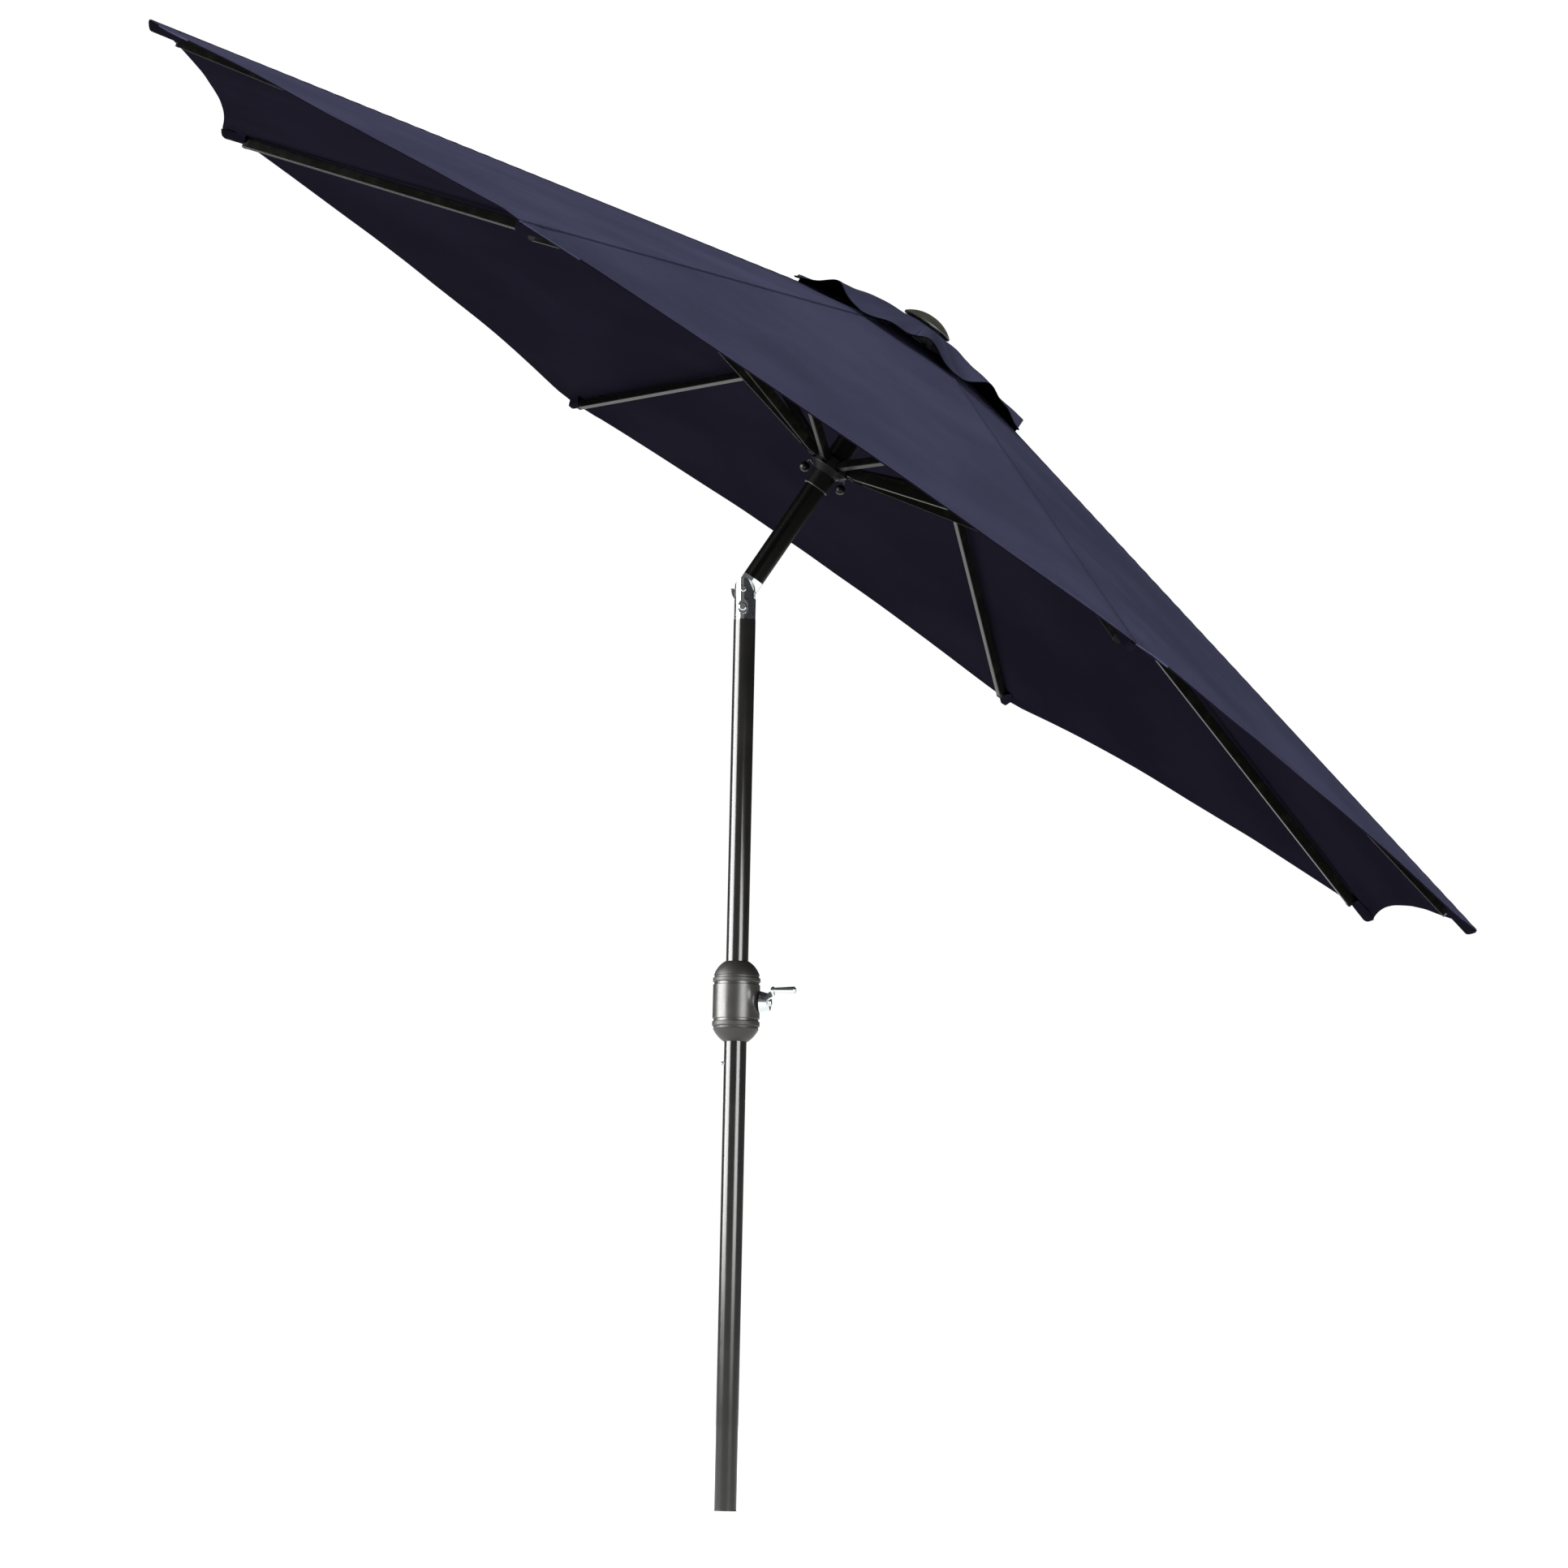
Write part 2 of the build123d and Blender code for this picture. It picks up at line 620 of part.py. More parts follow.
VENT_TOP_Z = 555.0
VENT_RIM_Z = APEX_Z - VENT_R * tan(radians(SLOPE)) + 5
with BuildPart() as vent_canopy:
    for lift, mode in ((CANOPY_T, Mode.ADD), (0, Mode.SUBTRACT)):
        with BuildSketch(Plane.XY.offset(VENT_RIM_Z + lift)):
            RegularPolygon(VENT_R, SIDES, rotation=FIRST_RIB)
        with BuildSketch(Plane.XY.offset(VENT_TOP_Z + lift)):
            RegularPolygon(30, SIDES, rotation=FIRST_RIB)
        loft(mode=mode)
    # cut into its eight panels at the seams, and open in the middle
    with BuildSketch(Plane.XY.offset(VENT_RIM_Z)):
        Circle(26.4)
        with PolarLocations(VENT_R / 2, SIDES, start_angle=FIRST_RIB):
            Rectangle(VENT_R + 2, 2 * SEAM_GAP)
    extrude(amount=200, mode=Mode.SUBTRACT)
write(vent_canopy.part, "vent_canopy", HEAD)

# ---- runner: slotted hub on a collar that slides on the upper pole ----

RUNNER_BORE_R = POLE_R + 0.35
RUNNER_COLLAR_R = 22.4
with BuildPart() as runner_hub:
    with BuildSketch(FRONT):
        with BuildLine():
            Polyline(
                (RUNNER_BORE_R, RUNNER_Z - 48.4),
                (RUNNER_COLLAR_R, RUNNER_Z - 48.4),
                (RUNNER_COLLAR_R, RUNNER_Z - 21),
                (34.5, RUNNER_Z - 10),
                (36.0, RUNNER_Z - 8),
                (36.0, RUNNER_Z + 9.5),
                (34.5, RUNNER_Z + 11),
                (RUNNER_BORE_R, RUNNER_Z + 11),
                close=True,
            )
        make_face()
    revolve(axis=Axis.Z)
    with BuildSketch(Plane.XY.offset(RUNNER_Z - 8)):
        with PolarLocations(30, SIDES, start_angle=FIRST_RIB):
            with Locations((4.1, 0)):
                Rectangle(20, SLOT_W)
    extrude(amount=30, mode=Mode.SUBTRACT)
    with Locations(Location((0, 0, RUNNER_Z))):
        with PolarLocations(PIVOT_R, SIDES, start_angle=FIRST_RIB):
            Cylinder(PIN_R, 20, rotation=(90, 0, 0), mode=Mode.SUBTRACT)
    with BuildSketch(Plane.XY.offset(RUNNER_Z + 2)):
        with Locations(CROWN_CORD * Location((DOWN_RUN_X, 0, 0))):
            Circle(CORD_R + 0.3)
    extrude(amount=20, mode=Mode.SUBTRACT)
write(runner_hub.part, "runner_hub", HEAD)

with BuildPart() as runner_ring:
    with BuildSketch(Plane.XY.offset(RUNNER_Z - 50)):
        Circle(RUNNER_COLLAR_R + 0.3)
        Circle(RUNNER_BORE_R, mode=Mode.SUBTRACT)
    extrude(amount=1.6)
write(runner_ring.part, "runner_ring", HEAD)

with BuildPart() as runner_pins:
    with Locations(Location((0, 0, RUNNER_Z))):
        with PolarLocations(PIVOT_R, SIDES, start_angle=FIRST_RIB):
            Cylinder(PIN_R, 19, rotation=(90, 0, 0))
write(runner_pins.part, "runner_pins", HEAD)

BALL_R = 8.9
BALL_X = 38.0
BALL_Z = RUNNER_Z - 29.0
with BuildPart() as hook_wires:
    for side in (1, -1):
        with BuildLine(FRONT) as wire:
            FilletPolyline(
                (side * 28.0, RUNNER_Z - 17.5),
                (side * 33, RUNNER_Z - 15.5),
                (side * BALL_X, RUNNER_Z - 12.0),
                (side * BALL_X, BALL_Z + BALL_R - 0.5),
                radius=1.9,
            )
        with BuildSketch(Plane(origin=wire.wires()[0] @ 0, z_dir=wire.wires()[0] % 0)):
            Circle(1.2)
        sweep(path=wire.wires()[0])
write(hook_wires.part, "hook_wires", HEAD)

with BuildPart() as hook_balls:
    with Locations((BALL_X, 0, BALL_Z), (-BALL_X, 0, BALL_Z)):
        Sphere(BALL_R)
    # flat on top where the wire enters
    with Locations((BALL_X, 0, BALL_Z + BALL_R), (-BALL_X, 0, BALL_Z + BALL_R)):
        Cylinder(4.0, 1.0, mode=Mode.SUBTRACT)
write(hook_balls.part, "hook_balls", HEAD)

# ---- lift cord: spool to tilt joint, and tilt joint over the pulley to the runner ----

with BuildPart() as lift_cord_lower:
    with BuildLine() as route:
        FilletPolyline(
            (0, SPOOL_DRUM_R + CORD_R, CRANK_Z + 2),
            (0, SPOOL_DRUM_R + CORD_R, CRANK_Z + 30),
            (CLEVIS_CORD_X / 2, 4.0, CRANK_Z + 330),
            (CLEVIS_CORD_X, 0, CLEVIS_Z - 50),
            (CLEVIS_CORD_X, 0, PIVOT_Z - SLOT_SWING_R),
            radius=60,
        )
    with BuildSketch(Plane(origin=route.wires()[0] @ 0, z_dir=route.wires()[0] % 0)):
        Circle(CORD_R)
    sweep(path=route.wires()[0])
write(lift_cord_lower.part, "lift_cord_lower")

UP = (CROWN_CORD * Location((UP_RUN_X, 0, 0))).position
OVER = (CROWN_CORD * Location((PULLEY_X, 0, 0))).position
DOWN = (CROWN_CORD * Location((DOWN_RUN_X, 0, 0))).position
with BuildPart() as lift_cord_upper:
    with BuildLine() as route:
        rise = FilletPolyline(
            (HEAD_CORD_X, 0, -19),
            (HEAD_CORD_X, 0, 70),
            (UP.X, UP.Y, 190),
            (UP.X, UP.Y, PULLEY_Z),
            radius=100,
        )
        ThreePointArc(rise @ 1, (OVER.X, OVER.Y, PULLEY_Z + PULLEY_GROOVE), (DOWN.X, DOWN.Y, PULLEY_Z))
        Line((DOWN.X, DOWN.Y, PULLEY_Z), (DOWN.X, DOWN.Y, RUNNER_Z + 2.5))
    with BuildSketch(Plane(origin=route.wires()[0] @ 0, z_dir=route.wires()[0] % 0)):
        Circle(CORD_R)
    sweep(path=route.wires()[0])
write(lift_cord_upper.part, "lift_cord_upper", HEAD)

# ---- ribs: steel tube with end fitting, strut bracket and tip cap, made once and set round the crown ----

# local x runs out along the rib from its crown pivot, local z is the rib's own up
RIB = Plane(
    origin=(PIVOT_R, 0, CROWN_Z),
    x_dir=(cos(radians(SLOPE)), 0, -sin(radians(SLOPE))),
    z_dir=(sin(radians(SLOPE)), 0, cos(radians(SLOPE))),
)


def side_of(line):
    """The plane through a link's middle, square to its pivots: x out along it, y its own up."""
    return Plane(origin=line.origin, x_dir=line.x_dir, z_dir=(0, -1, 0))


def across(line, out, up=0):
    """The plane square to a link at a distance from its inner pivot: x to the side, y its own up."""
    return Plane(origin=line.from_local_coords((out, 0, up)), x_dir=(0, 1, 0), z_dir=line.x_dir)


RIB_START = 14.0
RIB_END = 1347.0
RIB_MID = PIVOT_BELOW_RIB
TIP_COLLAR = 6.0
TONGUE_H = 8.0
TONGUE_LENGTH = 44.0
with BuildPart() as rib:
    with BuildSketch(across(RIB, RIB_START, RIB_MID)):
        RectangleRounded(RIB_W, RIB_H, 1.5)
        RectangleRounded(RIB_W - 2 * TUBE_WALL, RIB_H - 2 * TUBE_WALL, 0.8, mode=Mode.SUBTRACT)
    extrude(amount=RIB_END - RIB_START)
    # inner end: an eye below the tube and a plug inside it
    with BuildSketch(side_of(RIB)):
        Circle(6.0)
        Polygon(
            (-6.0, 0), (-5.2, RIB_MID + 7), (-3, RIB_MID + 9), (RIB_START, RIB_MID + 9),
            (RIB_START, RIB_MID - 9), (5.6, -2), align=None,
        )
    extrude(amount=4.8, both=True)
    with BuildSketch(across(RIB, RIB_START, RIB_MID)):
        Rectangle(RIB_W - 2 * TUBE_WALL - 0.1, RIB_H - 2 * TUBE_WALL - 0.1)
    extrude(amount=22)
    # strut bracket: two cheeks on the rib's sides and the pin through them
    with BuildSketch(side_of(RIB).offset(RIB_W / 2)):
        with Locations((LINK, RIB_MID / 2)):
            SlotOverall(31, 13, rotation=90)
    extrude(amount=1.6)
    with BuildSketch(side_of(RIB).offset(-RIB_W / 2)):
        with Locations((LINK, RIB_MID / 2)):
            SlotOverall(31, 13, rotation=90)
    extrude(amount=-1.6)
    with BuildSketch(side_of(RIB)):
        with Locations((LINK, 0)):
            Circle(PIN_R)
    extrude(amount=RIB_W / 2 + 2.6, both=True)
    with BuildSketch(side_of(RIB)):
        Circle(PIN_HOLE_R)
    extrude(amount=6, both=True, mode=Mode.SUBTRACT)
    # tip cap: a collar on the tube's end and a flat tongue that the canopy's pocket takes
    with BuildSketch(across(RIB, RIB_END, RIB_MID)):
        RectangleRounded(RIB_W + 1, RIB_H + 1, 2.5)
    extrude(amount=TIP_COLLAR)
    with BuildSketch(across(RIB, RIB_END + TIP_COLLAR, RIB_MID + (RIB_H - TONGUE_H) / 2)):
        RectangleRounded(RIB_W - 2, TONGUE_H, 2.5)
    extrude(amount=TONGUE_LENGTH)

# ---- struts: mirror image of the ribs' inner stretch, from the runner up to the bracket ----

STRUT = Plane(
    origin=(PIVOT_R, 0, RUNNER_Z),
    x_dir=(cos(radians(SLOPE)), 0, sin(radians(SLOPE))),
    z_dir=(-sin(radians(SLOPE)), 0, cos(radians(SLOPE))),
)
STRUT_FITTING = 38.0
EYE_R = 5.4
with BuildPart() as strut:
    with BuildSketch(across(STRUT, STRUT_FITTING)):
        RectangleRounded(STRUT_W, STRUT_H, 1.5)
        RectangleRounded(STRUT_W - 2 * TUBE_WALL, STRUT_H - 2 * TUBE_WALL, 0.8, mode=Mode.SUBTRACT)
    extrude(amount=LINK - 2 * STRUT_FITTING)
    with BuildSketch(side_of(STRUT)):
        for end, way in ((0, 1), (LINK, -1)):
            with Locations((end, 0)):
                Circle(EYE_R)
            Polygon(
                (end, EYE_R),
                (end + way * 10, EYE_R),
                (end + way * 20, STRUT_H / 2),
                (end + way * STRUT_FITTING, STRUT_H / 2),
                (end + way * STRUT_FITTING, -STRUT_H / 2),
                (end + way * 20, -STRUT_H / 2),
                (end + way * 10, -EYE_R),
                (end, -EYE_R),
                align=None,
            )
    extrude(amount=4.8, both=True)
    with BuildSketch(side_of(STRUT)):
        with Locations((0, 0), (LINK, 0)):
            Circle(PIN_HOLE_R)
    extrude(amount=6, both=True, mode=Mode.SUBTRACT)

# ---- main canopy: each rib carries the two half panels that are seamed over it, cut with a hollow hem ----

MID_R = CANOPY_R * cos(radians(HALF))
HEM_R = (CANOPY_R**2 * sin(radians(HALF)) ** 2 + SCALLOP**2) / (2 * SCALLOP)
MID_DIR = Vector(cos(radians(HALF)), sin(radians(HALF)))
APEX = Vector(0, 0, APEX_Z)
RIB_TIP = Vector(CANOPY_R, 0, TIP_Z)
NEXT_TIP = Vector(CANOPY_R * cos(radians(2 * HALF)), CANOPY_R * sin(radians(2 * HALF)), TIP_Z)
PANEL_UP = (RIB_TIP - APEX).cross(NEXT_TIP - APEX).normalized()
SEAM_SHIFT = Vector(sin(radians(HALF)), -cos(radians(HALF))) * PANEL_GAP
with BuildPart() as canopy:
    with BuildSketch():
        Polygon(
            (0, SEAM_GAP),
            (CANOPY_R, SEAM_GAP),
            *[(p.X, p.Y) for p in (MID_DIR * CANOPY_R * 1.1 + SEAM_SHIFT, SEAM_SHIFT)],
            align=None,
        )
        with Locations(tuple(MID_DIR * (MID_R - SCALLOP + HEM_R))[:2]):
            Circle(HEM_R, mode=Mode.SUBTRACT)
        RegularPolygon(CANOPY_HOLE_R, SIDES, mode=Mode.SUBTRACT)
    extrude(amount=APEX_Z + 50)
    split(bisect_by=Plane(origin=APEX, z_dir=PANEL_UP), keep=Keep.BOTTOM)
    split(bisect_by=Plane(origin=APEX - PANEL_UP * CANOPY_T, z_dir=PANEL_UP), keep=Keep.TOP)
    mirror(about=Plane.XZ)

for number in range(SIDES):
    write(rib.part, f"rib_{number + 1}", spoke(number))
    write(strut.part, f"strut_{number + 1}", spoke(number))
    write(canopy.part, f"canopy_{number + 1}", spoke(number))

print("crown pivots", round(CROWN_Z, 2), "runner pivots", round(RUNNER_Z, 2), "rim", round(TIP_Z, 2))
print("hem radius", round(HEM_R, 1), "panel length", round(hypot(CANOPY_R, APEX_Z - TIP_Z), 1))
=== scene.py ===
import math
from math import cos, radians, sin, tan

import bmesh
import bpy
from mathutils import Matrix, Vector, noise


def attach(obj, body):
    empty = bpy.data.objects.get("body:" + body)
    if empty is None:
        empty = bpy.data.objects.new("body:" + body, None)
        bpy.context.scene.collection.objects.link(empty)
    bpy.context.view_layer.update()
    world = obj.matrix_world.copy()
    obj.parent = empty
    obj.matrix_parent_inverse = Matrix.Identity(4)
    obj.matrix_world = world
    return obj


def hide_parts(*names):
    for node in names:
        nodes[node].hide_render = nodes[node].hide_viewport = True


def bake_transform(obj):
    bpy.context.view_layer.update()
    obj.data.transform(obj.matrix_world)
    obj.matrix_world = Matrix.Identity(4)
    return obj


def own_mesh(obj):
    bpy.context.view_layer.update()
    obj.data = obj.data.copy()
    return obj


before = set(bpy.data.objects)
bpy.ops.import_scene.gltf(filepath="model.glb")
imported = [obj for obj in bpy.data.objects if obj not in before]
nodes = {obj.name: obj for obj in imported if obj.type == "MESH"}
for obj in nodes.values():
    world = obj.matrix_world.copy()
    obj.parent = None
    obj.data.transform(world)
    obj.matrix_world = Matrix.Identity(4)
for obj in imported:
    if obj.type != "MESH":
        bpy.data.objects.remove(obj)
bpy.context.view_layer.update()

# ---- camera ----
# The camera stands low and well back, a little to the umbrella's right, and looks slightly up under
# the canopy.

camera_place = (1.33109, -7.29939, 0.20748)
swing, lift, roll = 9.7637, 7.9099, 1.1756
camera = bpy.data.objects.new("camera", bpy.data.cameras.new("camera"))
bpy.context.scene.collection.objects.link(camera)
camera.matrix_world = (
    Matrix.Translation(camera_place)
    @ Matrix.Rotation(radians(swing), 4, "Z")
    @ Matrix.Rotation(radians(90 + lift), 4, "X")
    @ Matrix.Rotation(radians(roll), 4, "Z")
)
camera.data.lens = 99.79
camera.data.clip_end = 100
bpy.context.scene.camera = camera

# ---- studio ----
# A white studio: a pale floor, an even white surround, one broad overhead light and two tall soft
# boxes that draw the long highlights down the poles.

bpy.context.scene.view_settings.view_transform = "Standard"


class Value:
    """A socket in a node tree. Sums and products of values add Math nodes."""

    def __init__(self, tree, socket=None):
        self.tree = tree
        self.socket = socket

    def node(self, kind, sockets=(), output=0, stops=(), **settings):
        """Any node: its settings are set first, then its sockets get numbers, colours or other values."""
        made = self.tree.nodes.new("ShaderNode" + kind)
        for name, setting in settings.items():
            setattr(made, name, setting)
        for place, (at, colour) in enumerate(stops):
            stop = made.color_ramp.elements[place] if place < 2 else made.color_ramp.elements.new(at)
            stop.position = at
            stop.color = (*colour, 1)
        for name, given in dict(sockets).items():
            if isinstance(given, Value):
                self.tree.links.new(given.socket, made.inputs[name])
            else:
                made.inputs[name].default_value = given
        return Value(self.tree, made.outputs[output])

    def maths(self, operation, *others):
        return self.node("Math", enumerate((self, *others)), operation=operation)

    def feeds(self, shader, name):
        self.tree.links.new(self.socket, shader.inputs[name])

    def between(self, low, high):
        """0 below low, 1 above high and a smooth rise between."""
        return self.node(
            "MapRange", {"Value": self, "From Min": low, "From Max": high}, interpolation_type="SMOOTHSTEP"
        )

    def blend(self, first, second):
        """A colour that goes from the first to the second as this value goes from 0 to 1."""
        return self.node("Mix", {"Factor": self, 6: first, 7: second}, output=2, data_type="RGBA")

    def __add__(self, other):
        return self.maths("ADD", other)

    __radd__ = __add__

    def __mul__(self, other):
        return self.maths("MULTIPLY", other)

    __rmul__ = __mul__

    def __sub__(self, other):
        return self.maths("SUBTRACT", other)

    def __rsub__(self, other):
        return self.node("Math", {0: other, 1: self}, operation="SUBTRACT")


def colour(red, green, blue):
    return (red, green, blue, 1)


lit_strength, seen_strength = 0.14, 1.02
surround = bpy.data.worlds.new("surround")
surround.use_nodes = True
bpy.context.scene.world = surround
background = surround.node_tree.nodes["Background"]
background.inputs["Color"].default_value = colour(1, 1, 1)
seen = Value(surround.node_tree).node("LightPath", output="Is Camera Ray")
(seen * (seen_strength - lit_strength) + lit_strength).feeds(background, "Strength")


def finish_of(name, look):
    """A material, its shader with these constant values, and a value to start its nodes from."""
    material = bpy.data.materials.new(name)
    material.use_nodes = True
    shader = material.node_tree.nodes["Principled BSDF"]
    for socket, value in look.items():
        shader.inputs[socket].default_value = value
    return material, shader, Value(material.node_tree)


def new_piece(name, shape, *materials):
    """A finished bmesh becomes an object with these materials."""
    mesh = bpy.data.meshes.new(name)
    shape.to_mesh(mesh)
    shape.free()
    for material in materials:
        mesh.materials.append(material)
    piece = bpy.data.objects.new(name, mesh)
    bpy.context.scene.collection.objects.link(piece)
    return piece


floor_paint, shader, start = finish_of(
    "floor_paint", {"Base Color": colour(0.9, 0.9, 0.9), "Roughness": 0.9, "Emission Strength": 0.82}
)
shader.inputs["Emission Color"].default_value = colour(1, 1, 1)
shape = bmesh.new()
bmesh.ops.create_circle(shape, cap_ends=True, segments=96, radius=16)
new_piece("floor", shape, floor_paint)


def studio_light(name, kind, place, aim, **settings):
    light = bpy.data.objects.new(name, bpy.data.lights.new(name, kind))
    for setting, value in settings.items():
        setattr(light.data, setting, value)
    bpy.context.scene.collection.objects.link(light)
    light.location = place
    light.rotation_euler = (Vector(aim) - Vector(place)).to_track_quat("-Z", "Y").to_euler()
    light.visible_camera = False
    return light


overhead = studio_light("overhead", "SUN", (-2.6, -2.2, 5), (0, 0, 0), energy=2.6, angle=radians(40))
overhead.visible_glossy = False
for name, place, wide, watts in (
    ("strip_left", (-3.35, -1.35, 1.9), 3.2, 560),
    ("strip_right", (2.95, -3.1, 1.9), 2.4, 300),
):
    strip = studio_light(
        name, "AREA", place, (0, 0, place[2]), shape="RECTANGLE", size=wide, size_y=2.8, energy=watts
    )
    strip.visible_diffuse = False

# ---- poles ----
# The lower and middle poles are one size of drawn steel tube in satin graphite powder coat, which has a
# faint orange peel; a plug of moulded nylon closes the foot.


def wear(start, scale, detail=3):
    """Slow cloudy change over a surface, from 0 to 1."""
    place = start.node("TexCoord", output="Object")
    return start.node("TexNoise", {"Vector": place, "Scale": scale, "Detail": detail}, output="Fac")


def powder_coat(name, paint, shine, gloss=1.5):
    material, shader, start = finish_of(name, {"IOR": gloss})
    peel = wear(start, 900)
    handled = wear(start, 9)
    (handled * 0.12 + shine).feeds(shader, "Roughness")
    bright = [1.35 * part for part in paint]
    handled.between(0.35, 0.75).blend(colour(*paint), colour(*bright)).feeds(shader, "Base Color")
    start.node("Bump", {"Height": peel, "Strength": 0.08, "Distance": 0.0003}).feeds(shader, "Normal")
    return material


def moulded(name, plastic, shine, grain=1400, depth=0.12, gloss=1.48):
    """Moulded plastic: a fine spark-eroded grain, rubbed a little smoother in patches."""
    material, shader, start = finish_of(name, {"IOR": gloss})
    rubbed = wear(start, 24)
    (shine - 0.14 * rubbed.between(0.5, 0.8)).feeds(shader, "Roughness")
    pale = [0.003 + 1.2 * part for part in plastic]
    rubbed.between(0.4, 0.9).blend(colour(*plastic), colour(*pale)).feeds(shader, "Base Color")
    start.node("Bump", {"Height": wear(start, grain), "Strength": depth, "Distance": 0.0004}).feeds(
        shader, "Normal"
    )
    return material


def dress(material, *names):
    """Give CAD nodes their finish."""
    for name in names:
        mesh = nodes[name].data
        mesh.materials.clear()
        mesh.materials.append(material)


graphite_coat = powder_coat("graphite_coat", (0.019, 0.0182, 0.0172), 0.12)
dress(graphite_coat, "lower_pole", "middle_pole")
black_nylon = moulded("black_nylon", (0.012, 0.012, 0.012), 0.5)
dress(black_nylon, "pole_end_cap")

# ---- pole joint ----
# A zinc-plated sleeve joins the two tubes, and a steel button on a bent spring strip snaps into its
# hole.


def plated(name, metal, shine, streak=0.1):
    """Plated steel: bright, with faint drawn streaks along it and dull patches where it is handled."""
    material, shader, start = finish_of(name, {"Metallic": 1.0, "Base Color": colour(*metal)})
    place = start.node("TexCoord", output="Object")
    drawn = start.node("Mapping", {"Vector": place, "Scale": (900, 900, 30)})
    streaks = start.node("TexNoise", {"Vector": drawn, "Scale": 1.0, "Detail": 2}, output="Fac")
    dull = wear(start, 60)
    (dull * 0.18 + streaks * streak + shine).feeds(shader, "Roughness")
    dark = [0.72 * part for part in metal]
    dull.between(0.35, 0.8).blend(colour(*metal), colour(*dark)).feeds(shader, "Base Color")
    start.node("Bump", {"Height": streaks, "Strength": 0.05, "Distance": 0.0002}).feeds(shader, "Normal")
    return material


zinc = plated("zinc", (0.52, 0.53, 0.54), 0.2)
dress(zinc, "coupler_sleeve", "snap_button", "snap_spring")

# ---- crank housing ----
# A barrel and two domed caps of graphite-grey moulded plastic sit round the pole; the barrel is satin
# and the domes have a duller grain. Two screws at the back hold it.

barrel_plastic = moulded("barrel_plastic", (0.040, 0.038, 0.035), 0.34, grain=1100, depth=0.06, gloss=1.55)
dome_plastic = moulded("dome_plastic", (0.030, 0.028, 0.025), 0.5, grain=800, depth=0.16)
dress(barrel_plastic, "housing_body")
dress(dome_plastic, "housing_top_cap", "housing_bottom_cap")
dress(zinc, "housing_screws")
acetal = moulded("acetal", (0.66, 0.65, 0.61), 0.42)
dress(acetal, "crank_bushes")

# ---- crank ----
# A steel shaft through the housing carries an acetal cord spool and a chromed casting, the arm, whose
# grip turns on a pin.


def chrome_plate(name, smudge):
    """Bright chrome on a casting: nearly a mirror, waved a little by the casting and smudged by hands. Its
    metallic share is held just under one, so a little diffuse grey shows in the dark parts as painted
    reflection.
    """
    material, shader, start = finish_of(name, {"Metallic": 0.92, "Base Color": colour(0.66, 0.7, 0.7)})
    prints = wear(start, 130, 5)
    (prints.between(0.5, 0.85) * smudge + 0.05).feeds(shader, "Roughness")
    start.node("Bump", {"Height": wear(start, 55), "Strength": 0.06, "Distance": 0.002}).feeds(
        shader, "Normal"
    )
    return material


chrome = chrome_plate("chrome", 0.12)
dress(chrome, "crank_arm", "crank_screw", "grip_pin", "crank_grip")
dress(zinc, "crank_shaft")
dress(acetal, "cord_spool")

# ---- tilt joint ----
# A chromed clevis and tongue on a riveted pin, with a blackened ratchet heel under the tongue and a
# spring-loaded push button in front.

dress(chrome, "tilt_clevis", "tilt_pin", "tilt_tongue", "tilt_button")
blackened = plated("blackened", (0.07, 0.07, 0.068), 0.38)
dress(blackened, "ratchet_heel")
dress(zinc, "tilt_button_spring")

# ---- upper pole and crown ----
# A shorter tube in black powder coat carries the nylon crown hub, its steel pins and the cord pulley.

black_coat = powder_coat("black_coat", (0.0022, 0.0022, 0.0018), 0.22, gloss=1.16)
dress(black_coat, "upper_pole")
dress(black_nylon, "crown_hub")
dress(zinc, "crown_pins")
dress(acetal, "crown_pulley")

# ---- lift cord ----
# A 3 mm braided polyester cord, black, runs up inside the poles, over the pulley and down to the runner.

tilt_height = 1.576
tilt_angle = radians(33.8)
head = Matrix.Translation((0, 0, tilt_height)) @ Matrix.Rotation(tilt_angle, 4, "Y")
cord_radius = 0.0015
cord_bearing = radians(13)
cord_from_axis = 0.0212
runner_pivots_z = 0.26555
reserve_step = 0.024
braid, shader, start = finish_of("braid", {"Base Color": colour(0.02, 0.02, 0.02), "Roughness": 0.8})
place = start.node("TexCoord", output="Object")
strands = start.node("TexVoronoi", {"Vector": place, "Scale": 1300}, output="Distance")
strands.between(0.1, 0.7).blend(colour(0.034, 0.034, 0.036), colour(0.008, 0.008, 0.009)).feeds(
    shader, "Base Color"
)
start.node("Bump", {"Height": 1 - strands, "Strength": 0.6, "Distance": 0.0005}).feeds(shader, "Normal")
dress(braid, "lift_cord_lower", "lift_cord_upper")

# the stretch that shows as the runner comes down, inside the first one until then
shape = bmesh.new()
bmesh.ops.create_circle(shape, segments=12, radius=cord_radius * 0.94)
for _ in range(8):
    rim = [edge for edge in shape.edges if edge.is_boundary or edge.is_wire]
    top = max(vert.co.z for edge in rim for vert in edge.verts)
    rim = [edge for edge in rim if min(vert.co.z for vert in edge.verts) > top - 1e-6]
    drawn = bmesh.ops.extrude_edge_only(shape, edges=rim)["geom"]
    ring = [part for part in drawn if isinstance(part, bmesh.types.BMVert)]
    bmesh.ops.translate(shape, vec=(0, 0, reserve_step), verts=ring)
bmesh.ops.holes_fill(shape, edges=[edge for edge in shape.edges if edge.is_boundary], sides=0)
bmesh.ops.recalc_face_normals(shape, faces=shape.faces)
reserve_foot = Matrix.Translation((cord_from_axis, 0, runner_pivots_z + 0.003))
bmesh.ops.transform(
    shape, matrix=head @ Matrix.Rotation(cord_bearing, 4, "Z") @ reserve_foot, verts=shape.verts
)
cord_below = new_piece("lift_cord_reserve", shape, braid)
cord_below.data.shade_smooth()
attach(cord_below, "runner")

